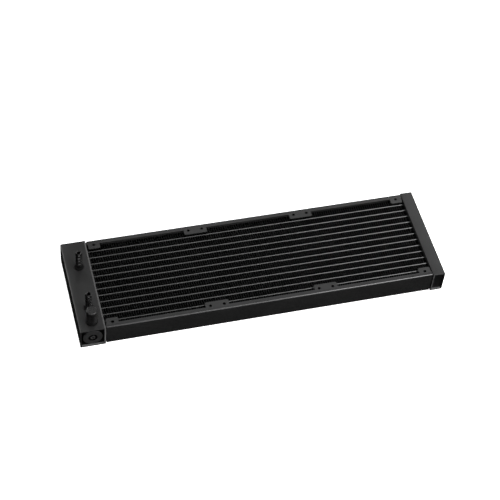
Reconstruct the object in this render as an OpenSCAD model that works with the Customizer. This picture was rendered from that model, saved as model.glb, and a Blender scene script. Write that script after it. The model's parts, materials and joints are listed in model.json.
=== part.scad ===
// Liquid cooling radiator for a row of three 120 mm fans.
// It lies flat: X runs along its length, Y across its width, and Z is up.
// The origin is the middle of the bottom face. Coolant enters and leaves at the
// deep tank at -X and turns round in the shallow tank at +X.

/* [Overall] */
// Length over both tanks
overall_length = 402; // [396:1:420]
// Width over the tanks
overall_width = 120; // [118:1:124]
// Height of the tanks and rails, without the fittings
overall_height = 27; // [26:0.5:32]

/* [Fan mounting] */
// Number of fans along the radiator
fan_count = 3; // [3:1:3]
// Pitch of the fans along the radiator
fan_pitch = 120; // [120:0.5:120.5]
// Distance between the screw holes of one fan, both ways
fan_hole_spacing = 105; // [104.5:0.1:105.5]
// Diameter of each fan screw hole
fan_hole_diameter = 3.2; // [2.8:0.1:4]
// Offset of the fan row from the middle of the length, towards the return tank
fan_row_offset = 7; // [5:0.5:9]

/* [Tanks] */
// Depth of the inlet tank along X, header plate included
inlet_tank_depth = 27.2; // [25:0.1:28]
// Depth of the return tank along X, header plate included
return_tank_depth = 13.5; // [12:0.5:15]
// Wall of both tanks
tank_wall = 1.5; // [1.2:0.1:2]
// Radius of the tanks' long outer edges
tank_edge_radius = 1.2; // [0.8:0.1:2]
// Thickness of the header plates and end caps
plate_thickness = 1.5; // [1.2:0.1:2]
// How far the end caps sit inside the tanks' ends
end_cap_recess = 2.2; // [1.5:0.1:3]

/* [Core] */
// Number of flat tubes, an even number
tube_count = 12; // [12:2:12]
// Pitch of the flat tubes
tube_pitch = 8.59; // [8.5:0.01:8.7]
// Outer thickness of a flat tube
tube_thickness = 1.8; // [1.5:0.1:2.2]
// Wall of a flat tube
tube_wall = 0.3; // [0.2:0.05:0.4]
// Depth of the tubes and fins along Z
core_depth = 18.6; // [16:0.2:20]
// How far the tubes stand into the tanks past the header plates
tube_overrun = 2; // [1:0.5:3]
// Length of one full fold of a fin strip
fin_fold_pitch = 2.54; // [2.4:0.02:4]
// Sheet thickness of a fin strip
fin_stock = 0.2; // [0.15:0.05:0.25]
// Sheet thickness of the two core side plates
side_plate_stock = 0.8; // [0.6:0.1:1]

/* [Side rails] */
// Distance over the two rails' outer faces
rail_span = 118; // [117:0.5:118.5]
// Sheet thickness of a rail
rail_stock = 1; // [0.9:0.1:1.3]
// Outer radius of a rail's bends
rail_bend_radius = 1.2; // [1.1:0.1:2]
// Width of a rail's top and bottom flanges
rail_flange = 5.3; // [5:0.1:6]
// How far the screw tabs reach in from a rail's outer face
tab_reach = 11.7; // [11:0.1:12]
// Length of the four corner tabs of each face
corner_tab_length = 13; // [12:0.5:14]
// Length of the tabs that two fans share
shared_tab_length = 25.5; // [24:0.5:28]
// Radius of a tab's corners
tab_corner_radius = 1.5; // [1:0.25:2]
// Gap between a rail's end and the header plate
rail_end_gap = 1.1; // [0.8:0.1:1.5]

/* [Hose fittings] */
// X position of both fittings and of the fill port
fitting_x = -186.5; // [-188:0.5:-186]
// Y position of the inlet fitting
inlet_fitting_y = 25.3; // [24:0.1:27]
// Y position of the outlet fitting
outlet_fitting_y = -30.4; // [-32:0.1:-29]
// Height of a fitting above the tank
fitting_height = 24.5; // [22:0.5:26]
// Diameter of a fitting's foot
fitting_foot_diameter = 10; // [9.5:0.5:11]
// Diameter over the barbs
barb_diameter = 7.4; // [7:0.1:8]
// Diameter between the barbs
barb_root_diameter = 5.9; // [5.8:0.1:6.5]
// Number of barbs on a fitting
barb_count = 4; // [3:1:5]
// Bore of a fitting
fitting_bore = 4.3; // [4:0.1:4.6]

/* [Fill port] */
// Y position of the fill port
fill_port_y = -48; // [-49:0.1:-47.5]
// Outer diameter of the port's tube
port_diameter = 8; // [7.5:0.1:8.5]
// Bore of the port
port_bore = 5; // [4.5:0.1:5.5]
// Height of the port's tube above the tank
port_height = 16.5; // [15:0.5:17]
// Diameter of the foot that the cap stands on
port_foot_diameter = 12.8; // [12:0.1:13.5]
// Height of that foot
port_foot_height = 1.4; // [1:0.1:2]
// Outer diameter of the cap
cap_diameter = 11.6; // [11:0.1:12]
// Height of the cap's top above the tank
cap_top_height = 19.3; // [18.5:0.1:20]
// Radius of the cap's top edge
cap_edge_radius = 1.1; // [0.8:0.1:1.5]

/* [Pressure relief] */
// X position of the vent
vent_x = -187.5; // [-189:0.5:-187]
// Diameter of the vent disc
vent_disc_diameter = 20.5; // [19.5:0.1:20.5]
// Thickness of the vent disc
vent_disc_thickness = 1.35; // [1:0.05:1.5]
// Diameter of the round pocket in the disc
vent_pocket_diameter = 9.5; // [9:0.1:10]
// Diameter of the insert in the pocket
vent_insert_diameter = 5.5; // [5:0.1:6]
// Diameter of the breathing hole
vent_hole_diameter = 1.6; // [1.2:0.1:2]
// Outer diameter of the elastic bag in the tank
bladder_diameter = 13; // [12:0.5:14]
// Length of the elastic bag
bladder_length = 44; // [40:1:48]

/* [Hidden] */
$fn = 48;

// X of the header plates' faces towards the core
core_start = -overall_length / 2 + inlet_tank_depth;
core_end = overall_length / 2 - return_tank_depth;
core_length = core_end - core_start;
core_middle = (core_start + core_end) / 2;
core_bottom = (overall_height - core_depth) / 2;

// X of the inner faces of the two tanks, where end caps and baffle sit
inlet_inner_low = -overall_length / 2 + tank_wall;
inlet_inner_high = core_start - plate_thickness;
return_inner_low = core_end + plate_thickness;
return_inner_high = overall_length / 2 - tank_wall;

fin_height = tube_pitch - tube_thickness;
fin_folds = floor((core_length - 1) / fin_fold_pitch);
fin_length = fin_folds * fin_fold_pitch;

// Half of the span over the outermost fin strips
core_half_width = tube_count * tube_pitch / 2 + fin_height / 2;

rail_face = rail_span / 2;
rail_start = core_start + rail_end_gap;
rail_length = core_length - 2 * rail_end_gap;
fan_hole_y = fan_hole_spacing / 2;

// Clearance of parts that pass through a hole or slot
slip = 0.05;
// Extra length of a cutting solid past the surface it cuts
cut = 1;

// Fittings, fill port and vent: how their shanks pass through a wall
shank_diameter = 8;
shank_length = 3;
fitting_foot_height = 2;
barb_land = 0.7;
barb_start = 5.5;
barb_pitch = (fitting_height - barb_start) / barb_count;
port_groove_depth = 0.4;
port_groove_width = 1.5;
// Heights of the port's two grooves, as shares of its height
port_groove_places = [0.45, 0.7];
port_chamfer = 0.6;
cap_wall_top = 1.8;
vent_shank_length = 8;
vent_pocket_depth = 1.1;
vent_stem_diameter = 3;
vent_stem_length = 5;
vent_edge = 0.4;
bladder_wall = 1;
bladder_neck_length = 5;

BLACK_PAINT = "#2d2d2f";
BLACK_CORE = "#1c1c1e";
BLACK_RUBBER = "#19191a";
DARK_PLASTIC = "#3a3a3d";

function pad(i) = str(i < 10 ? "0" : "", i);
function tube_name(i) = str("flat_tube_", pad(i));
function fin_name(i) = str("fin_strip_", pad(i));

// ---- Shapes that repeat ----

// Extrudes an outline drawn in X and Z along Y, from y_low to y_high.
module along_y(y_low, y_high) {
    translate([0, y_high, 0])
        rotate([90, 0, 0])
            linear_extrude(height = y_high - y_low) children();
}

// Extrudes an outline drawn in Y and Z along X, from x_low to x_high.
module along_x(x_low, x_high) {
    translate([x_low, 0, 0])
        rotate([90, 0, 90])
            linear_extrude(height = x_high - x_low) children();
}

// A rectangle from low to high whose four corners have radius r.
module round_rectangle(low, high, r) {
    translate([low[0] + r, low[1]])
        square([high[0] - low[0] - 2 * r, high[1] - low[1]]);
    translate([low[0], low[1] + r])
        square([high[0] - low[0], high[1] - low[1] - 2 * r]);
    for (x = [low[0] + r, high[0] - r], y = [low[1] + r, high[1] - r])
        translate([x, y]) circle(r = r);
}

// A slot outline of the given width and height, with round ends, about the origin.
module slot(width, height) {
    square([width, height - width], center = true);
    for (y = [-1, 1])
        translate([0, y * (height - width) / 2]) circle(d = width);
}

// ---- Tanks ----

// A tank shell: a deep channel, open towards the core and at both ends.
// It is drawn from x = 0, its outer wall, to x = depth, its open side.
module tank_shell(depth) {
    along_y(-overall_width / 2, overall_width / 2)
        difference() {
            union() {
                round_rectangle([0, 0], [depth, overall_height], tank_edge_radius);
                translate([depth / 2, 0]) square([depth / 2, overall_height]);
            }
            translate([tank_wall, tank_wall])
                square([depth, overall_height - 2 * tank_wall]);
        }
}

// A plate that closes one end of a tank. Its middle is at x and its outer face is at
// the recess depth; side is -1 for the front end and 1 for the rear end.
module end_cap(x_low, x_high, side) {
    outer = overall_width / 2 - end_cap_recess;
    inner = outer - plate_thickness;
    translate([x_low, side > 0 ? inner : -outer, tank_wall])
        cube([x_high - x_low, plate_thickness, overall_height - 2 * tank_wall]);
}

// A header plate with a slot for every tube. Its low face is at x.
module header(x) {
    difference() {
        translate([x, -overall_width / 2, 0])
            cube([plate_thickness, overall_width, overall_height]);
        along_x(x - cut, x + plate_thickness + cut)
            for (i = [1 : tube_count])
                translate([tube_y(i), overall_height / 2])
                    slot(tube_thickness + 2 * slip, core_depth + 2 * slip);
    }
}

// Hole through the inlet tank's top wall at the given Y
module top_wall_hole(y) {
    translate([fitting_x, y, overall_height - tank_wall - cut])
        cylinder(d = shank_diameter + 2 * slip, h = tank_wall + 2 * cut);
}

module inlet_tank() {
    color(BLACK_PAINT)
        difference() {
            translate([-overall_length / 2, 0, 0])
                tank_shell(inlet_tank_depth - plate_thickness);
            for (y = [inlet_fitting_y, outlet_fitting_y, fill_port_y])
                top_wall_hole(y);
        }
}

module inlet_header() {
    color(BLACK_PAINT) header(core_start - plate_thickness);
}

module inlet_front_end_cap() {
    color(BLACK_PAINT)
        difference() {
            end_cap(inlet_inner_low, inlet_inner_high, -1);
            translate([vent_x, -overall_width / 2 + end_cap_recess, overall_height / 2])
                rotate([90, 0, 0])
                    cylinder(d = shank_diameter + 2 * slip,
                             h = 4 * plate_thickness, center = true);
        }
}

module inlet_rear_end_cap() {
    color(BLACK_PAINT) end_cap(inlet_inner_low, inlet_inner_high, 1);
}

// The wall that keeps incoming coolant apart from outgoing coolant
module divider_baffle() {
    color(BLACK_PAINT)
        translate([inlet_inner_low, -plate_thickness / 2, tank_wall])
            cube([inlet_inner_high - inlet_inner_low, plate_thickness,
                  overall_height - 2 * tank_wall]);
}

module return_tank() {
    color(BLACK_PAINT)
        translate([overall_length / 2, 0, 0])
            mirror([1, 0, 0]) tank_shell(return_tank_depth - plate_thickness);
}

module return_header() {
    color(BLACK_PAINT) header(core_end);
}

module return_front_end_cap() {
    color(BLACK_PAINT) end_cap(return_inner_low, return_inner_high, -1);
}

module return_rear_end_cap() {
    color(BLACK_PAINT) end_cap(return_inner_low, return_inner_high, 1);
}

// ---- Core ----

// Y of tube i, counted from the front
function tube_y(i) = (i - (tube_count + 1) / 2) * tube_pitch;
// Y of fin strip i, counted from the front
function fin_y(i) = (i - 1 - tube_count / 2) * tube_pitch;

// One hollow flat tube with a web down its middle
module flat_tube(i) {
    channel = (core_depth - 3 * tube_wall) / 2;
    color(BLACK_CORE)
        along_x(core_start - plate_thickness - tube_overrun,
                core_end + plate_thickness + tube_overrun)
            translate([tube_y(i), overall_height / 2])
                difference() {
                    slot(tube_thickness, core_depth);
                    for (z = [-1, 1])
                        translate([0, z * (channel + tube_wall) / 2])
                            slot(tube_thickness - 2 * tube_wall, channel);
                }
}

// One side of a fin strip's folded outline, from left to right. Crests are at even k
// and valleys at odd k. side is 1 for the upper side of the sheet, -1 for the lower.
// The outside of a fold has a narrow flat, which is brazed, and the inside is sharp.
function fin_side(side) = [
    for (k = [0 : 2 * fin_folds])
        let (crest = k % 2 == 0 ? 1 : -1,
             outside = crest == side,
             x = k * fin_fold_pitch / 2,
             y = crest * (fin_height / 2 - (outside ? 0 : fin_stock)))
            each outside ? [[x - fin_stock, y], [x + fin_stock, y]] : [[x, y]]];

// One corrugated fin strip, its crests touching the tube or side plate on each side
module fin_strip(i) {
    upper = fin_side(1);
    lower = fin_side(-1);
    last = len(lower) - 1;
    color(BLACK_CORE)
        translate([core_middle - fin_length / 2, fin_y(i), core_bottom])
            linear_extrude(height = core_depth)
                polygon(concat(upper, [for (k = [0 : last]) lower[last - k]]));
}

// The plate along the outermost fins: a channel that fits between the rail's flanges
// and stops where the rail's bends begin
module side_plate(side) {
    depth = rail_face - rail_bend_radius - core_half_width;
    height = overall_height - 2 * rail_stock;
    color(BLACK_CORE)
        mirror([0, side > 0 ? 0 : 1, 0])
            along_x(core_start, core_end)
                difference() {
                    translate([core_half_width, rail_stock]) square([depth, height]);
                    translate([core_half_width + side_plate_stock,
                               rail_stock + side_plate_stock])
                        square([depth, height - 2 * side_plate_stock]);
                }
}

module front_side_plate() {
    side_plate(-1);
}

module rear_side_plate() {
    side_plate(1);
}

// ---- Side rails ----

// X of the middle of fan i, counted from the inlet tank
function fan_x(i) = fan_row_offset + (i - (fan_count + 1) / 2) * fan_pitch;

// Outline of a rail's channel: outer face at +Y, flanges pointing inwards
module rail_outline() {
    difference() {
        union() {
            round_rectangle([rail_face - rail_flange, 0], [rail_face, overall_height],
                            rail_bend_radius);
            translate([rail_face - rail_flange, 0])
                square([rail_flange / 2, overall_height]);
        }
        round_rectangle([rail_face - 2 * rail_flange, rail_stock],
                        [rail_face - rail_stock, overall_height - rail_stock],
                        rail_bend_radius - rail_stock);
    }
}

// One screw tab of the given length, from the flange inwards, its middle at x
module tab(x, length) {
    linear_extrude(height = rail_stock)
        round_rectangle([x - length / 2, rail_face - tab_reach],
                        [x + length / 2, rail_face - rail_stock - rail_bend_radius],
                        tab_corner_radius);
}

// All tabs of one face of a rail: one at each end, and one where two fans meet
module tab_row() {
    end_reach = fan_hole_spacing / 2;
    tab(fan_x(1) - end_reach, corner_tab_length);
    tab(fan_x(fan_count) + end_reach, corner_tab_length);
    for (i = [1 : fan_count - 1])
        tab((fan_x(i) + fan_x(i + 1)) / 2, shared_tab_length);
}

// A rail with its outer face at +Y
module side_rail() {
    difference() {
        union() {
            along_x(rail_start, rail_start + rail_length) rail_outline();
            tab_row();
            translate([0, 0, overall_height - rail_stock]) tab_row();
        }
        for (i = [1 : fan_count], end = [-1, 1])
            translate([fan_x(i) + end * fan_hole_spacing / 2, fan_hole_y, -cut])
                cylinder(d = fan_hole_diameter, h = overall_height + 2 * cut);
    }
}

module front_side_rail() {
    color(BLACK_PAINT) mirror([0, 1, 0]) side_rail();
}

module rear_side_rail() {
    color(BLACK_PAINT) side_rail();
}

// ---- Hose fittings ----

// A barbed fitting: shank through the tank wall, foot on the wall, neck and barbs
module fitting(y) {
    root = barb_root_diameter / 2;
    crest = barb_diameter / 2;
    barbs = [for (i = [0 : barb_count - 1])
                 let (z = barb_start + i * barb_pitch)
                     each [[root, z], [crest, z], [crest, z + barb_land],
                           [root, z + barb_pitch]]];
    color(BLACK_PAINT)
        translate([fitting_x, y, overall_height])
            rotate_extrude()
                polygon(concat(
                    [[fitting_bore / 2, -shank_length], [shank_diameter / 2, -shank_length],
                     [shank_diameter / 2, 0], [fitting_foot_diameter / 2, 0],
                     [fitting_foot_diameter / 2, fitting_foot_height],
                     [root, fitting_foot_height]],
                    barbs,
                    [[fitting_bore / 2, fitting_height]]));
}

module inlet_fitting() {
    fitting(inlet_fitting_y);
}

module outlet_fitting() {
    fitting(outlet_fitting_y);
}

// ---- Fill port and its cap ----

module fill_port() {
    outer = port_diameter / 2;
    color(BLACK_PAINT)
        translate([fitting_x, fill_port_y, overall_height])
            difference() {
                union() {
                    translate([0, 0, -shank_length])
                        cylinder(d = shank_diameter, h = shank_length);
                    cylinder(d = port_foot_diameter, h = port_foot_height);
                    cylinder(r = outer, h = port_height - port_chamfer);
                    translate([0, 0, port_height - port_chamfer])
                        cylinder(r1 = outer, r2 = outer - port_chamfer, h = port_chamfer);
                }
                translate([0, 0, -shank_length - cut])
                    cylinder(d = port_bore, h = port_height + shank_length + 2 * cut);
                for (place = port_groove_places)
                    translate([0, 0, place * port_height])
                        difference() {
                            cylinder(r = outer + cut, h = port_groove_width);
                            cylinder(r = outer - port_groove_depth, h = port_groove_width);
                        }
            }
}

// The cap: a smooth cylinder with a rounded top edge, pushed over the port
module fill_cap() {
    outer = cap_diameter / 2;
    height = cap_top_height - port_foot_height;
    color(BLACK_RUBBER)
        translate([fitting_x, fill_port_y, overall_height + port_foot_height])
            difference() {
                rotate_extrude() {
                    square([outer, height - cap_edge_radius]);
                    square([outer - cap_edge_radius, height]);
                    translate([outer - cap_edge_radius, height - cap_edge_radius])
                        intersection() {
                            circle(r = cap_edge_radius);
                            square(cap_edge_radius);
                        }
                }
                translate([0, 0, -cut])
                    cylinder(d = port_diameter + 2 * slip, h = height - cap_wall_top + cut);
            }
}

// ---- Pressure relief ----

// Places its children with their +Z pointing out of the front end cap
module at_vent() {
    translate([vent_x, -overall_width / 2 + end_cap_recess, overall_height / 2])
        rotate([90, 0, 0]) children();
}

// The disc on the end cap, with a round pocket and a shank into the tank
module vent_plug() {
    outer = vent_disc_diameter / 2;
    color(DARK_PLASTIC)
        at_vent()
            rotate_extrude()
                polygon([[vent_stem_diameter / 2 + slip, -vent_shank_length],
                         [shank_diameter / 2, -vent_shank_length],
                         [shank_diameter / 2, 0],
                         [outer, 0],
                         [outer, vent_disc_thickness - vent_edge],
                         [outer - vent_edge, vent_disc_thickness],
                         [vent_pocket_diameter / 2, vent_disc_thickness],
                         [vent_pocket_diameter / 2, vent_disc_thickness - vent_pocket_depth],
                         [vent_stem_diameter / 2 + slip,
                          vent_disc_thickness - vent_pocket_depth]]);
}

// The small insert in the pocket, with the breathing hole through it
module vent_insert() {
    floor_height = vent_disc_thickness - vent_pocket_depth;
    color(BLACK_RUBBER)
        at_vent()
            rotate_extrude()
                polygon([[vent_hole_diameter / 2, floor_height - vent_stem_length],
                         [vent_stem_diameter / 2, floor_height - vent_stem_length],
                         [vent_stem_diameter / 2, floor_height],
                         [vent_insert_diameter / 2, floor_height],
                         [vent_insert_diameter / 2, vent_disc_thickness],
                         [vent_hole_diameter / 2, vent_disc_thickness]]);
}

// The elastic bag in the outlet half of the tank, its neck over the vent's shank
module pressure_bladder() {
    outer = bladder_diameter / 2;
    neck_bore = shank_diameter / 2 + slip;
    neck_end = -plate_thickness;
    bag_start = neck_end - bladder_neck_length;
    // The neck runs a little way down into the bag's round shoulder
    neck_start = bag_start - outer / 2;
    color(BLACK_RUBBER)
        at_vent()
            rotate_extrude()
                difference() {
                    union() {
                        translate([0, neck_start])
                            square([neck_bore + bladder_wall, neck_end - neck_start]);
                        bag_outline(outer, bag_start, bladder_length);
                    }
                    translate([0, neck_start])
                        square([neck_bore, neck_end - neck_start + cut]);
                    bag_outline(outer - bladder_wall, bag_start - bladder_wall,
                                bladder_length - 2 * bladder_wall);
                }
}

// Half of a long shape with round ends, of radius r and the given length, downwards
// from the given top
module bag_outline(r, top, length) {
    translate([0, top - length + r]) square([r, length - 2 * r]);
    for (y = [top - r, top - length + r])
        translate([0, y])
            intersection() {
                circle(r = r);
                translate([0, -r]) square([r, 2 * r]);
            }
}

inlet_tank();
inlet_header();
inlet_front_end_cap();
inlet_rear_end_cap();
divider_baffle();
return_tank();
return_header();
return_front_end_cap();
return_rear_end_cap();
front_side_rail();
rear_side_rail();
front_side_plate();
rear_side_plate();
inlet_fitting();
outlet_fitting();
fill_port();
fill_cap();
vent_plug();
vent_insert();
pressure_bladder();
for (i = [1 : tube_count])
    flat_tube(i);
for (i = [1 : tube_count + 1])
    fin_strip(i);
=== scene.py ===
import json
import math

import bmesh
import bpy
from mathutils import Euler, Matrix, Vector


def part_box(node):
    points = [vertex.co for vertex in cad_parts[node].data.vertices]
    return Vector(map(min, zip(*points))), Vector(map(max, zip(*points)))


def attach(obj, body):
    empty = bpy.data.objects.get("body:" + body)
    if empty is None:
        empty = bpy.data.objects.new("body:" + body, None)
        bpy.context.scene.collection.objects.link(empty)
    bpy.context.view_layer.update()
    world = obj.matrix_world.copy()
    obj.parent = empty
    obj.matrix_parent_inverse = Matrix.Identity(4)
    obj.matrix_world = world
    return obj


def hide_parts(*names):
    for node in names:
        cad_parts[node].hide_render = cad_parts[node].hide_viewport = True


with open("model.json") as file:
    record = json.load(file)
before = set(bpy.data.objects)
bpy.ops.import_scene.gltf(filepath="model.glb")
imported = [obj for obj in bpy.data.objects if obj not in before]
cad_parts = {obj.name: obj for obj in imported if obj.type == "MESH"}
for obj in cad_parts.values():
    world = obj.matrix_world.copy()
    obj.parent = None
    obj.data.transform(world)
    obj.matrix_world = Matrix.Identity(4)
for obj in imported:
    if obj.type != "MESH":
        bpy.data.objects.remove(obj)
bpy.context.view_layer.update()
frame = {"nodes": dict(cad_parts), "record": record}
scene = bpy.context.scene
nodes = frame["nodes"]

MM = 0.001
FIXED_BODY = "radiator"
CAP_BODY = "cap"
SHARP_ANGLE = math.radians(35)
LATHE_STEPS = 64


# ---------------------------------------------------------------- materials

class Look:
    """A Principled material whose inputs are fed by noise in the part's own coordinates."""

    def __init__(self, name, colour, roughness, specular):
        self.material = bpy.data.materials.new(name)
        self.material.use_nodes = True
        self.tree = self.material.node_tree
        self.shader = self.tree.nodes["Principled BSDF"]
        self.shader.inputs["Specular IOR Level"].default_value = specular
        self.shader.inputs["Base Color"].default_value = (*colour, 1)
        self.shader.inputs["Roughness"].default_value = roughness
        self.place = self.tree.nodes.new("ShaderNodeTexCoord").outputs["Object"]
        self.height = None

    def stretched(self, stretch):
        """The part's coordinates with each axis scaled, for grain that runs one way."""
        mapping = self.tree.nodes.new("ShaderNodeMapping")
        mapping.inputs["Scale"].default_value = stretch
        self.tree.links.new(self.place, mapping.inputs["Vector"])
        return mapping.outputs["Vector"]

    def noise(self, size, detail=2.0, place=None):
        """Noise whose blobs are about size metres across."""
        noise = self.tree.nodes.new("ShaderNodeTexNoise")
        noise.inputs["Scale"].default_value = 1 / size
        noise.inputs["Detail"].default_value = detail
        self.tree.links.new(place or self.place, noise.inputs["Vector"])
        return noise.outputs["Fac"]

    def vary(self, socket, source, low, high):
        """Feeds a socket from low to high as source goes from 0.3 to 0.7."""
        spread = self.tree.nodes.new("ShaderNodeMapRange")
        for name, value in (("From Min", 0.3), ("From Max", 0.7), ("To Min", low), ("To Max", high)):
            spread.inputs[name].default_value = value
        self.tree.links.new(source, spread.inputs["Value"])
        self.tree.links.new(spread.outputs["Result"], self.shader.inputs[socket])

    def tint(self, source, dark, light):
        """Base colour from dark to light as source goes from 0.3 to 0.7."""
        ramp = self.tree.nodes.new("ShaderNodeValToRGB")
        for element, position, colour in zip(ramp.color_ramp.elements, (0.3, 0.7), (dark, light)):
            element.position = position
            element.color = (*colour, 1)
        self.tree.links.new(source, ramp.inputs["Fac"])
        self.tree.links.new(ramp.outputs["Color"], self.shader.inputs["Base Color"])

    def bump(self, source, depth):
        """Adds relief of the given depth in metres, on top of any earlier relief."""
        bump = self.tree.nodes.new("ShaderNodeBump")
        bump.inputs["Distance"].default_value = depth
        self.tree.links.new(source, bump.inputs["Height"])
        if self.height:
            self.tree.links.new(self.height, bump.inputs["Normal"])
        self.height = bump.outputs["Normal"]
        self.tree.links.new(self.height, self.shader.inputs["Normal"])


def grey(value):
    """A neutral colour."""
    return value, value, value


def coated_metal(name, shade, roughness, grain, specular=0.35, relief=0.004):
    """Black powder coat: fine pebbled relief, with slow drifts of shade and gloss."""
    look = Look(name, grey(shade), roughness, specular)
    look.tint(look.noise(30 * MM, 3), grey(shade * 0.88), grey(shade * 1.12))
    look.vary("Roughness", look.noise(18 * MM, 4), roughness - 0.02, roughness + 0.03)
    look.bump(look.noise(grain, 3), relief * MM)
    look.bump(look.noise(6 * grain, 1), 0.5 * relief * MM)
    return look.material


def machined_black(name, shade, roughness, specular):
    """Black coat over turned metal: faint rings round the upright axis."""
    look = Look(name, grey(shade), roughness, specular)
    rings = look.noise(0.5 * MM, 2, look.stretched((0.05, 0.05, 1.0)))
    look.vary("Roughness", rings, roughness - 0.05, roughness + 0.08)
    look.tint(look.noise(4 * MM, 2), grey(shade * 0.85), grey(shade * 1.2))
    look.bump(rings, 0.004 * MM)
    return look.material


def moulded(name, shade, roughness, grain, specular=0.35, relief=0.006):
    """Moulded rubber or plastic: a fine even grain and a slightly cloudy gloss."""
    look = Look(name, grey(shade), roughness, specular)
    look.tint(look.noise(5 * MM, 3), grey(shade * 0.85), grey(shade * 1.15))
    look.vary("Roughness", look.noise(2.5 * MM, 3), roughness - 0.06, roughness + 0.06)
    look.bump(look.noise(grain, 2), relief * MM)
    return look.material


# The deepest black is painted shade on the walls of narrow holes and grooves, and INSIDE and BAG are for
# sealed pieces
TANK = coated_metal("tank_coat", 0.016, 0.24, 0.35 * MM)
# A lighter copy of the tank coat: a painted highlight on the header plates' edges.
HEADER_HIGHLIGHT = coated_metal("header_painted_highlight_coat", 0.070, 0.26, 0.35 * MM, 0.5)
# Lighter still: a painted highlight on the tanks' bottom ledges and the inlet header's end faces.
EDGE_HIGHLIGHT = coated_metal("edge_painted_highlight_coat", 0.130, 0.30, 0.35 * MM, 0.5)
RAIL = coated_metal("rail_coat", 0.016, 0.24, 0.35 * MM, 0.5)
# The end caps' coats are darker than the tank's: painted shade in the recessed tank ends.
SHADED_END_COAT = coated_metal("end_cap_painted_shade", 0.005, 0.50, 0.35 * MM, 0.15)
SHADED_VENT_COAT = coated_metal("vent_end_painted_shade", 0.001, 0.40, 0.35 * MM, 0.05)
BEND = coated_metal("rail_bend_coat", 0.016, 0.17, 0.35 * MM, 0.8)
TUBE = coated_metal("tube_coat", 0.010, 0.20, 0.25 * MM, 0.8)
# Shaded and lit copies of one fin coat: painted shade on the fin walls, painted highlight on every second
# wall.
SHADED_FIN = coated_metal("fin_painted_shade_coat", 0.0005, 0.25, 0.20 * MM, 0.03, 0.002)
FIN_LIT = coated_metal("fin_lit_coat", 0.026, 0.45, 0.20 * MM, 0.10, 0.002)
FITTING = machined_black("fitting_coat", 0.003, 0.20, 0.9)
FOOT = moulded("foot_coat", 0.002, 0.60, 0.20 * MM, 0.10)
CAP = moulded("cap_rubber", 0.007, 0.31, 0.15 * MM, 0.5)
DISC = moulded("vent_disc_plastic", 0.026, 0.45, 0.20 * MM)
INSERT = moulded("vent_insert_rubber", 0.035, 0.55, 0.15 * MM)
SHADE_BLACK = moulded("painted_shade_black", 0.001, 0.60, 0.15 * MM, 0.05)
BAG = moulded("pressure_bag_rubber", 0.020, 0.70, 0.40 * MM)
INSIDE = coated_metal("inside_metal", 0.060, 0.45, 0.40 * MM)


# ---------------------------------------------------------------- mesh tools

def finish_mesh(name, mesh, material, sharp_angle=SHARP_ANGLE):
    """Makes an object of a mesh, smooth except across edges sharper than the angle."""
    mesh.validate()
    mesh.shade_smooth()
    mesh.set_sharp_from_angle(angle=sharp_angle)
    mesh.materials.clear()
    mesh.materials.append(material)
    piece = bpy.data.objects.new(name, mesh)
    scene.collection.objects.link(piece)
    return piece


def apply_modifiers(piece):
    """Keeps what the modifiers make as the piece's own mesh."""
    graph = bpy.context.evaluated_depsgraph_get()
    made = bpy.data.meshes.new_from_object(piece.evaluated_get(graph))
    piece.modifiers.clear()
    piece.data = made


def soften_edges(piece, width, segments=3):
    """Rounds the piece's sharp edges, so that they catch the light as real ones do."""
    bevel = piece.modifiers.new("edges", "BEVEL")
    bevel.width = width
    bevel.segments = segments
    bevel.limit_method = "ANGLE"
    bevel.angle_limit = SHARP_ANGLE
    bevel.harden_normals = True
    apply_modifiers(piece)


def combine(piece, others, operation):
    """Joins other solids to the piece, or cuts them out of it, and removes them."""
    for other in others:
        boolean = piece.modifiers.new(operation, "BOOLEAN")
        boolean.operation = operation
        boolean.solver = "EXACT"
        boolean.object = other
    apply_modifiers(piece)
    for other in others:
        bpy.data.objects.remove(other)


def recolour(piece, material, chosen):
    """Gives another material to the faces that chosen picks."""
    piece.data.materials.append(material)
    for face in piece.data.polygons:
        if chosen(face):
            face.material_index = len(piece.data.materials) - 1


def prism(name, outline, low, high, axis, material):
    """A solid with a flat outline, from low to high along axis. The outline gives the two
    other coordinates, in X, Y, Z order."""
    def corner(a, b, along):
        return {"X": (along, a, b), "Y": (a, along, b), "Z": (a, b, along)}[axis]

    count = len(outline)
    points = [corner(a, b, along) for along in (low, high) for a, b in outline]
    faces = [[i, (i + 1) % count, count + (i + 1) % count, count + i] for i in range(count)]
    faces += [list(range(count))[::-1], list(range(count, 2 * count))]
    mesh = bpy.data.meshes.new(name)
    mesh.from_pydata(points, [], faces)
    shape = bmesh.new()
    shape.from_mesh(mesh)
    bmesh.ops.recalc_face_normals(shape, faces=shape.faces)
    shape.to_mesh(mesh)
    shape.free()
    return finish_mesh(name, mesh, material)


def block(name, low, high, material):
    """A plain box between two corners."""
    outline = [(low[0], low[1]), (high[0], low[1]), (high[0], high[1]), (low[0], high[1])]
    return prism(name, outline, low[2], high[2], "Z", material)


def arc(centre, radius, start, end, steps):
    """Points on an arc, by angles in degrees, both ends included."""
    turns = [math.radians(start + (end - start) * k / steps) for k in range(steps + 1)]
    return [(centre[0] + radius * math.cos(t), centre[1] + radius * math.sin(t)) for t in turns]


def round_corners(corners, radii, steps=6):
    """A closed outline with each corner rounded to its radius; 0 keeps it sharp."""
    outline = []
    for i, (corner, radius) in enumerate(zip(corners, radii)):
        here = Vector(corner)
        before = (Vector(corners[i - 1]) - here).normalized()
        after = (Vector(corners[(i + 1) % len(corners)]) - here).normalized()
        if radius <= 0:
            outline.append(tuple(here))
            continue
        half = before.angle(after) / 2
        reach = radius / math.tan(half)
        middle = here + (before + after).normalized() * radius / math.sin(half)
        first = here + before * reach - middle
        last = here + after * reach - middle
        turn = first.angle_signed(last)
        for k in range(steps + 1):
            outline.append(tuple(middle + Matrix.Rotation(-turn * k / steps, 2) @ first))
    return outline


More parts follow.
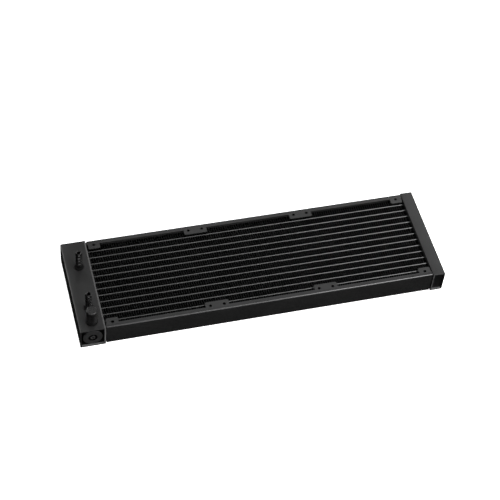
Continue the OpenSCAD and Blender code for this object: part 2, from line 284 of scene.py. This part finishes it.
def lathe(name, profile, place, material, closed=True):
    """Turns a profile of (radius, height) points round the upright axis at place. A closed
    profile is a ring; an open one starts and ends on the axis."""
    shape = bmesh.new()
    rings = []
    turns = [math.tau * k / LATHE_STEPS for k in range(LATHE_STEPS)]
    for radius, height in profile:
        if radius < 1e-9:
            rings.append([shape.verts.new((0, 0, height))])
            continue
        rings.append([shape.verts.new((radius * math.cos(t), radius * math.sin(t), height))
                      for t in turns])
    pairs = list(zip(rings, rings[1:] + rings[:1])) if closed else list(zip(rings, rings[1:]))
    for one, two in pairs:
        for k in range(LATHE_STEPS):
            following = (k + 1) % LATHE_STEPS
            corners = [one[k % len(one)], one[following % len(one)],
                       two[following % len(two)], two[k % len(two)]]
            shape.faces.new(list(dict.fromkeys(corners)))
    bmesh.ops.recalc_face_normals(shape, faces=shape.faces)
    mesh = bpy.data.meshes.new(name)
    shape.to_mesh(mesh)
    shape.free()
    piece = finish_mesh(name, mesh, material)
    piece.data.transform(place)
    return piece


def stand_for(piece, node, body=FIXED_BODY):
    """The piece takes a CAD node's place, on its body."""
    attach(piece, body)
    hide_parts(node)


# ---------------------------------------------------------------- camera, light, floor

def make_camera():
    """A long lens that looks down at the front and the inlet end."""
    data = bpy.data.cameras.new("camera")
    data.lens = 110.035
    data.sensor_width = 36.0
    data.clip_start = 0.05
    data.clip_end = 60.0
    camera = bpy.data.objects.new("camera", data)
    camera.location = (-0.349494, -0.979850, 1.316771)
    camera.rotation_euler = Euler([math.radians(a) for a in (39.0296, -4.0755, -14.3489)])
    scene.collection.objects.link(camera)
    scene.camera = camera


LIGHT_DISTANCE = 1.8
PANEL = (0.6, 0.6)

# Each light's azimuth and elevation in degrees, its width and height in metres, and its power
# in watts. Azimuth 0 is +X and 90 is +Y. All of them face the middle of the object.
LIGHTS = {
    "front_right": (-45, 30.5, PANEL, 11.2),
    "high_right": (0, 65, PANEL, 10.1),
    "high_front_right": (-45, 55.5, PANEL, 9.3),
    "low_back_left": (142.5, 11.5, PANEL, 8.4),
    "low_front_left": (-111.5, 17.5, PANEL, 6.4),
    "left_front": (-142.5, 35, PANEL, 6.2),
    "low_front": (-78, 14.5, PANEL, 3.9),
    "back_left": (116, 46.5, PANEL, 3.7),
    "overhead": (63.5, 83.5, PANEL, 3.1),
    "front": (-78.5, 40.5, PANEL, 2.0),
    "overhead_right": (-25.5, 76.5, PANEL, 2.0),
    "back_right": (46.5, 41, PANEL, 1.8),
    "high_back": (73.5, 51, PANEL, 1.0),
    "high_front": (-74, 68.5, PANEL, 0.6),
    "low_back": (77.5, 23.5, PANEL, 0.5),
    "low_right": (-7.5, 17.5, PANEL, 4.0),
    "back_strip": (90, 0.6, (1.6, 0.1), 6.5),
    "right_strip": (0, 0.6, (1.0, 0.1), 8.0),
}
SKY = 0.03
GROUND = 0.0


def make_light(name, azimuth, elevation, size, power):
    data = bpy.data.lights.new(name, "AREA")
    data.shape = "RECTANGLE"
    data.size, data.size_y = size
    data.energy = power
    light = bpy.data.objects.new(name, data)
    turn = Euler((0, -math.radians(elevation), math.radians(azimuth)))
    light.location = turn.to_matrix() @ Vector((LIGHT_DISTANCE, 0, 0))
    light.rotation_euler = (-light.location).to_track_quat("-Z", "Y").to_euler()
    scene.collection.objects.link(light)


def make_world(sky, ground):
    """A plain room, bright above and dark below, with a soft change at the horizon."""
    world = bpy.data.worlds.new("studio")
    world.use_nodes = True
    tree = world.node_tree
    direction = tree.nodes.new("ShaderNodeTexCoord").outputs["Generated"]
    parts = tree.nodes.new("ShaderNodeSeparateXYZ")
    spread = tree.nodes.new("ShaderNodeMapRange")
    for name, value in (("From Min", -0.15), ("From Max", 0.35), ("To Min", ground), ("To Max", sky)):
        spread.inputs[name].default_value = value
    tree.links.new(direction, parts.inputs["Vector"])
    tree.links.new(parts.outputs["Z"], spread.inputs["Value"])
    tree.links.new(spread.outputs["Result"], tree.nodes["Background"].inputs["Strength"])
    tree.nodes["Background"].inputs["Color"].default_value = (1, 1, 1, 1)
    scene.world = world


def make_studio():
    """Soft panels all round, two low strips, and colours shown as they are."""
    for name, settings in LIGHTS.items():
        make_light(name, *settings)
    make_world(SKY, GROUND)
    scene.view_settings.view_transform = "Standard"
    scene.view_settings.look = "None"


def make_floor():
    """A pale floor that curves up far away and glows a little, so that it stays near white.
    Its profile gives radii and heights in metres."""
    sides = 48
    profile = [(7.0, 0.0), (8.5, 0.4), (9.6, 1.5), (10.0, 3.0), (10.0, 12.0)]
    turns = [math.tau * k / sides for k in range(sides)]
    points = [(r * math.cos(t), r * math.sin(t), z) for r, z in profile for t in turns]
    faces = [tuple(range(sides))]
    for ring in range(len(profile) - 1):
        for k in range(sides):
            low, after = ring * sides, (k + 1) % sides
            faces.append((low + after, low + k, low + sides + k, low + sides + after))
    mesh = bpy.data.meshes.new("floor")
    mesh.from_pydata(points, [], faces)
    look = Look("floor_paper", (0.90, 0.90, 0.90), 0.9, 0.1)
    look.vary("Roughness", look.noise(0.4, 2), 0.85, 0.95)
    look.shader.inputs["Emission Color"].default_value = (1, 1, 1, 1)
    look.shader.inputs["Emission Strength"].default_value = 0.9
    mesh.materials.append(look.material)
    floor = bpy.data.objects.new("floor", mesh)
    floor.visible_glossy = False
    floor.visible_diffuse = False
    floor.visible_shadow = False
    scene.collection.objects.link(floor)


# ---------------------------------------------------------------- tanks

WALL = 1.5 * MM
TANK_EDGE = 1.2 * MM
TANK_INSIDE = 0.3 * MM
FINE_EDGE = 0.5 * MM
HEADER_EDGE = 0.3 * MM
SHANK_HOLE = 4.05 * MM
SLOT_GAP = 0.05 * MM
TUBES = sorted(node for node in nodes if node.startswith("flat_tube_"))
FINS = sorted(node for node in nodes if node.startswith("fin_strip_"))


def make_tank(node, open_side, shanks=()):
    """A channel-shaped tank shell, its long outer edges rounded, with a hole in its top
    wall for each piece that has a shank. open_side is 1 where the channel opens towards
    +X and -1 where it opens towards -X. The inner face of its bottom wall has a lighter coat, a painted
    highlight."""
    low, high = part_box(node)
    outer, inner = (low.x, high.x) if open_side > 0 else (high.x, low.x)
    wall = outer + open_side * WALL
    corners = [(outer, low.z), (inner, low.z), (inner, low.z + WALL), (wall, low.z + WALL),
               (wall, high.z - WALL), (inner, high.z - WALL), (inner, high.z), (outer, high.z)]
    radii = [TANK_EDGE, 0, 0, TANK_INSIDE, TANK_INSIDE, 0, 0, TANK_EDGE]
    outline = round_corners(corners, radii, 8)
    piece = prism("shell_" + node, outline, low.y, high.y, "Y", TANK)
    cutters = []
    for other in shanks:
        middle = sum(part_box(other), Vector()) / 2
        ring = arc(middle.xy, SHANK_HOLE, 0, 360, 48)[:-1]
        cutters.append(prism("hole", ring, high.z - 2 * WALL, high.z + WALL, "Z", TANK))
    combine(piece, cutters, "DIFFERENCE")
    soften_edges(piece, FINE_EDGE)
    bottom = low.z + 2 * WALL
    # The bottom wall's upward inner face gets the lighter coat: a painted highlight.
    recolour(piece, EDGE_HIGHLIGHT, lambda face: face.normal.z > 0.95 and face.center.z < bottom)
    stand_for(piece, node)


def make_header(node, material, ends):
    """A header plate with a slot for every tube. The material ends is for its two end faces, a lighter
    coat as a painted highlight.
    """
    low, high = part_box(node)
    piece = block("plate_" + node, low, high, material)
    cutters = [prism("slot", tube_outline(tube, SLOT_GAP), low.x - WALL, high.x + WALL, "X", material)
               for tube in TUBES]
    combine(piece, cutters, "DIFFERENCE")
    soften_edges(piece, HEADER_EDGE)
    inside = high.y - 2 * HEADER_EDGE
    # The two end faces get the lighter coat: a painted highlight.
    recolour(piece, ends, lambda face: abs(face.center.y) > inside)
    stand_for(piece, node)


# ---------------------------------------------------------------- core

def tube_outline(node, spare=0.0):
    """Outline in Y and Z of a flat tube with round edges, grown all round by spare."""
    low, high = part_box(node)
    radius = (high.y - low.y) / 2
    middle = (high.y + low.y) / 2
    return (arc((middle, high.z - radius), radius + spare, 0, 180, 12)
            + arc((middle, low.z + radius), radius + spare, 180, 360, 12))


def make_tube(node):
    """A flat tube, drawn as a solid bar because its ends are inside the tanks."""
    low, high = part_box(node)
    stand_for(prism("bar_" + node, tube_outline(node), low.x, high.x, "X", TUBE), node)


FOLD_PITCH = 2.54 * MM
FIN_STOCK = 0.2 * MM
FOLD_RADIUS = 0.4 * MM
FOLD_STEPS = 4


def fold_side(folds, height, side):
    """One side of a folded strip, from left to right, about the strip's own middle line."""
    reach = height / 2 - FIN_STOCK / 2 - FOLD_RADIUS
    run = FOLD_PITCH / 2
    lean = math.atan2(run, 2 * reach) - math.asin(2 * FOLD_RADIUS / math.hypot(run, 2 * reach))
    points = []
    for k in range(2 * folds + 1):
        crest = 1 if k % 2 == 0 else -1
        radius = FOLD_RADIUS + side * crest * FIN_STOCK / 2
        for step in range(FOLD_STEPS + 1):
            turn = (math.pi / 2 - lean) * (1 - 2 * step / FOLD_STEPS)
            points.append((k * run - radius * math.sin(turn),
                           crest * (reach + radius * math.cos(turn))))
    return points


def in_lit_wall(step):
    """Whether a step along the strip is the straight wall after every second fold."""
    fold, rest = divmod(step, FOLD_STEPS + 1)
    return rest == FOLD_STEPS and fold % 2 == 0


def make_fin(node):
    """One folded fin strip, with rounded folds. Its coat is darkened as painted shade, and every second
    wall is lighter, a painted highlight that stands for louvres catching the light."""
    low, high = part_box(node)
    folds = round((high.x - low.x) / FOLD_PITCH - 0.5)
    start = (low.x + high.x) / 2 - folds * FOLD_PITCH / 2
    middle = (low.y + high.y) / 2
    height = high.y - low.y
    upper, lower = (fold_side(folds, height, side) for side in (1, -1))
    count = len(upper)
    points = [(start + x, middle + y, z) for side in (upper, lower)
              for z in (low.z, high.z) for x, y in side]
    low_up, high_up, low_down, high_down = (k * count for k in range(4))
    faces = []
    for k in range(count - 1):
        faces.append((low_up + k + 1, low_up + k, high_up + k, high_up + k + 1))
        faces.append((low_down + k, low_down + k + 1, high_down + k + 1, high_down + k))
        faces.append((low_up + k, low_up + k + 1, low_down + k + 1, low_down + k))
        faces.append((high_up + k + 1, high_up + k, high_down + k, high_down + k + 1))
    last = count - 1
    faces.append((low_up, low_down, high_down, high_up))
    faces.append((low_up + last, high_up + last, high_down + last, low_down + last))
    mesh = bpy.data.meshes.new(node)
    mesh.from_pydata(points, [], faces)
    piece = finish_mesh("folds_" + node, mesh, SHADED_FIN, math.radians(50))
    # Every second wall takes the lit copy of the coat and the rest keep the shaded copy: painted
    # highlight and painted shade.
    recolour(piece, FIN_LIT, lambda face: in_lit_wall(face.index // 4))
    stand_for(piece, node)


# ---------------------------------------------------------------- rails

PLATE_STOCK = 0.8 * MM
RAIL_STOCK = 1.0 * MM
RAIL_BEND = 1.2 * MM
FLANGE = 5.3 * MM
TAB_CORNER = 1.5 * MM
CORNER_TAB = 13.0 * MM
SHARED_TAB = 25.5 * MM
RAIL_EDGE = 0.15 * MM


def fan_mounts():
    """X of the middle of each fan, and the spacing and radius of its screw holes."""
    tops = [m for m in frame["record"]["mounts"]
            if m["kind"] == "bolt_pattern" and m["axis"][2] > 0]
    dims = tops[0]["dims"]
    return sorted(m["pos_m"][0] for m in tops), dims["spacing_x_mm"] * MM, dims["hole_r_mm"] * MM


def make_side_plate(node, side):
    """The channel between the outermost fins and a rail, open towards the rail."""
    low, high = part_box(node)
    web, rim = (low.y, high.y) if side > 0 else (high.y, low.y)
    inside = web + side * PLATE_STOCK
    corners = [(web, low.z), (web, high.z), (rim, high.z), (rim, high.z - PLATE_STOCK),
               (inside, high.z - PLATE_STOCK), (inside, low.z + PLATE_STOCK),
               (rim, low.z + PLATE_STOCK), (rim, low.z)]
    radii = [r * MM for r in (0.5, 0.5, 0, 0, 0.2, 0.2, 0, 0)]
    plate = prism("channel_" + node, round_corners(corners, radii, 4), low.x, high.x, "X", RAIL)
    stand_for(plate, node)


def make_rail(node, side):
    """A bent channel with screw tabs, its open side towards the core. Its bends are
    glossier, and the walls of its screw holes are painted black as shade."""
    low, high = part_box(node)
    face, reach = (high.y, low.y) if side > 0 else (low.y, high.y)
    flange = face - side * FLANGE
    inside = face - side * RAIL_STOCK
    corners = [(face, low.z), (face, high.z), (flange, high.z), (flange, high.z - RAIL_STOCK),
               (inside, high.z - RAIL_STOCK), (inside, low.z + RAIL_STOCK),
               (flange, low.z + RAIL_STOCK), (flange, low.z)]
    bend_inside = RAIL_BEND - RAIL_STOCK
    radii = [RAIL_BEND, RAIL_BEND, 0, 0, bend_inside, bend_inside, 0, 0]
    rail = prism("channel_" + node, round_corners(corners, radii, 8), low.x, high.x, "X", RAIL)

    fans, spacing, hole = fan_mounts()
    root = face - side * (RAIL_STOCK + RAIL_BEND)
    face_line = face - side * RAIL_BEND
    holes = [x + end * spacing / 2 for x in fans for end in (-1, 1)]
    tabs = [(holes[0], CORNER_TAB), (holes[-1], CORNER_TAB)]
    tabs += [((one + two) / 2, SHARED_TAB) for one, two in zip(holes[1:-1:2], holes[2:-1:2])]
    added = []
    for middle, length in tabs:
        left, right = middle - length / 2, middle + length / 2
        outline = round_corners([(left, root), (left, reach), (right, reach), (right, root)],
                                [0, TAB_CORNER, TAB_CORNER, 0])
        for bottom in (low.z, high.z - RAIL_STOCK):
            added.append(prism("tab", outline, bottom, bottom + RAIL_STOCK, "Z", RAIL))
    combine(rail, added, "UNION")
    cutters = []
    for x in holes:
        ring = arc((x, side * spacing / 2), hole, 0, 360, 32)[:-1]
        cutters.append(prism("hole", ring, low.z - 2 * MM, high.z + 2 * MM, "Z", RAIL))
    combine(rail, cutters, "DIFFERENCE")
    soften_edges(rail, RAIL_EDGE, 2)
    recolour(rail, BEND, lambda face: min(abs(face.normal.y), abs(face.normal.z)) > 0.1
             and abs(face.center.y) > abs(face_line))
    # Painted shade: the walls of the screw holes are black.
    recolour(rail, SHADE_BLACK, lambda face: abs(face.normal.z) < 0.1 and any(
        math.dist(face.center.xy, (x, side * spacing / 2)) < hole + 0.05 * MM for x in holes))
    stand_for(rail, node)


# ---------------------------------------------------------------- fittings, cap, vent

CAP_BORE = 4.05 * MM
CAP_ROOF = 1.8 * MM

# The profiles below are in millimetres, from the piece's axis and the face it stands on
SHANK_RADIUS = 4.0
SHANK_LENGTH = 3.0


def upright(node):
    """Places a lathed piece on a node's upright axis, at the top of the inlet tank."""
    low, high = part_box(node)
    return Matrix.Translation(((low.x + high.x) / 2, (low.y + high.y) / 2,
                               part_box("inlet_tank")[1].z))


def mm(points):
    """Points given in millimetres, in metres."""
    return [(a * MM, b * MM) for a, b in points]


def make_fitting(node):
    """A hose barb: a dull foot, a neck and four barbs with rounded shoulders, bored through."""
    low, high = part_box(node)
    height = (high.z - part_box("inlet_tank")[1].z) / MM
    foot = (high.x - low.x) / 2 / MM
    bore, root, crest, step = 2.15, 2.75, 3.7, 1.9
    first_barb, barbs = 5.5, 4
    pitch = (height - first_barb) / barbs
    corners = [(bore, -SHANK_LENGTH), (SHANK_RADIUS, -SHANK_LENGTH), (SHANK_RADIUS, 0.0),
               (foot, 0.0), (foot, step), (root, step)]
    radii = [0, 0, 0, 0, 0.35, 0]
    for k in range(barbs):
        z = first_barb + k * pitch
        corners += [(root, z), (crest, z), (crest - 0.1, z + 2.2), (root, z + 3.7)]
        radii += [0.2, 0.3, 0.7, 0.4]
    corners += [(root, height), (bore, height)]
    radii += [0.25, 0.2]
    profile = round_corners(mm(corners), [r * MM for r in radii], 4)
    piece = lathe("barb_" + node, profile, upright(node), FITTING)
    foot_top = low.z + (SHANK_LENGTH + step + 0.01) * MM
    recolour(piece, FOOT, lambda face: face.center.z < foot_top)
    stand_for(piece, node)


def make_fill_port():
    """The port's tube, with two grooves round it, and its foot, rounded where the foot shows."""
    foot, step, bore, height = 6.4, 1.4, 2.5, 16.5
    tube, groove, groove_length = SHANK_RADIUS, 3.6, 1.5
    corners = [(bore, -SHANK_LENGTH), (tube, -SHANK_LENGTH), (tube, 0.0), (foot, 0.0),
               (foot, step), (tube, step)]
    radii = [0, 0, 0, 0, 0.35, 0]
    for z in (0.45 * height, 0.7 * height):
        corners += [(tube, z), (groove, z), (groove, z + groove_length), (tube, z + groove_length)]
        radii += [0.1, 0.1, 0.1, 0.1]
    corners += [(tube, height), (bore, height)]
    radii += [0.6, 0.2]
    profile = round_corners(mm(corners), [r * MM for r in radii], 4)
    piece = lathe("tube_fill_port", profile, upright("fill_port"), FOOT)
    stand_for(piece, "fill_port")


def make_fill_cap():
    """The smooth rubber cap, hollow from below, with a soft top edge."""
    low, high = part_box("fill_cap")
    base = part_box("inlet_tank")[1].z
    outer = (high.x - low.x) / 2
    bottom, top = low.z - base, high.z - base
    bore, roof = CAP_BORE, top - CAP_ROOF
    corners = [(0, roof), (bore, roof), (bore, bottom), (outer, bottom), (outer, top), (0, top)]
    profile = round_corners(corners, [r * MM for r in (0, 0.3, 0.3, 0.35, 1.1, 0)], 6)
    piece = lathe("sleeve_fill_cap", profile, upright("fill_cap"), CAP, closed=False)
    stand_for(piece, "fill_cap", CAP_BODY)


def vent_place():
    """Turns a lathed piece to face out of the tank's front end, on the vent's axis."""
    low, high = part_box("vent_plug")
    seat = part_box("inlet_front_end_cap")[0].y
    middle = (low + high) / 2
    return Matrix.Translation((middle.x, seat, middle.z)) @ Matrix.Rotation(math.pi / 2, 4, "X")


def make_vent():
    """The round disc on the tank's end, with a pocket in it and the insert in the pocket. The pocket,
    the insert's hole and outer edge, and a thin ring on the pocket's floor are black: painted shade."""
    place = vent_place()
    axis = place.translation

    def from_axis(face):
        """How far a face is from the vent's axis, in millimetres."""
        return math.hypot(face.center.x - axis.x, face.center.z - axis.z) / MM

    disc, thick, pocket, pocket_depth = 10.25, 1.35, 4.75, 1.1
    bore, shank, shank_length = 1.55, 4.0, 8.0
    insert, hole, stem, stem_length = 2.75, 0.8, 1.5, 5.0
    shaded_rim, hole_rim = 0.12, 0.16
    floor = thick - pocket_depth
    corners = [(bore, -shank_length), (shank, -shank_length), (shank, 0.0), (disc, 0.0),
               (disc, thick), (pocket, thick), (pocket, floor), (bore, floor)]
    radii = [0, 0.4, 0, 0, 0.4, 0.2, 0.15, 0]
    profile = round_corners(mm(corners), [r * MM for r in radii], 4)
    plug = lathe("disc_vent_plug", profile, place, DISC)
    # Painted shade: the pocket and its rim are black.
    recolour(plug, SHADE_BLACK, lambda face: from_axis(face) < pocket + shaded_rim)
    stand_for(plug, "vent_plug")

    corners = [(hole, floor - stem_length), (stem, floor - stem_length), (stem, floor),
               (insert, floor), (insert, thick), (hole, thick)]
    profile = round_corners(mm(corners), [r * MM for r in (0, 0, 0, 0, 0.25, 0.15)], 4)
    button = lathe("button_vent_insert", profile, place, INSERT)
    # Painted shade: the insert's hole and its outer edge are black.
    recolour(button, SHADE_BLACK, lambda face: not hole + hole_rim < from_axis(face) < insert - shaded_rim)
    stand_for(button, "vent_insert")

    # A thin black ring on the pocket's floor round the insert: painted shade in the groove.
    lip = floor + 0.15
    corners = [(insert, floor), (pocket, floor), (pocket, lip), (insert, lip)]
    seal = lathe("groove_shade_ring", mm(corners), place, SHADE_BLACK)
    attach(seal, FIXED_BODY)


# ---------------------------------------------------------------- what stays as CAD

def dress(node, material):
    """Gives a CAD node that stays in view its material."""
    nodes[node].data.materials.clear()
    nodes[node].data.materials.append(material)


# ---------------------------------------------------------------- build

make_camera()
make_studio()
make_floor()
make_tank("inlet_tank", 1, ("inlet_fitting", "outlet_fitting", "fill_port"))
make_tank("return_tank", -1)
# The inlet header is in the lighter coat with lighter ends still, and the return header has lighter ends:
# painted highlights.
make_header("inlet_header", HEADER_HIGHLIGHT, EDGE_HIGHLIGHT)
make_header("return_header", TANK, HEADER_HIGHLIGHT)
for node in TUBES:
    make_tube(node)
for node in FINS:
    make_fin(node)
for side, end in ((-1, "front"), (1, "rear")):
    make_side_plate(end + "_side_plate", side)
    make_rail(end + "_side_rail", side)
for node in ("inlet_fitting", "outlet_fitting"):
    make_fitting(node)
make_fill_port()
make_fill_cap()
make_vent()
# Darker coats on the end caps: painted shade in the recessed ends.
for node in ("inlet_rear_end_cap", "return_front_end_cap", "return_rear_end_cap"):
    dress(node, SHADED_END_COAT)
dress("inlet_front_end_cap", SHADED_VENT_COAT)
dress("divider_baffle", INSIDE)
dress("pressure_bladder", BAG)
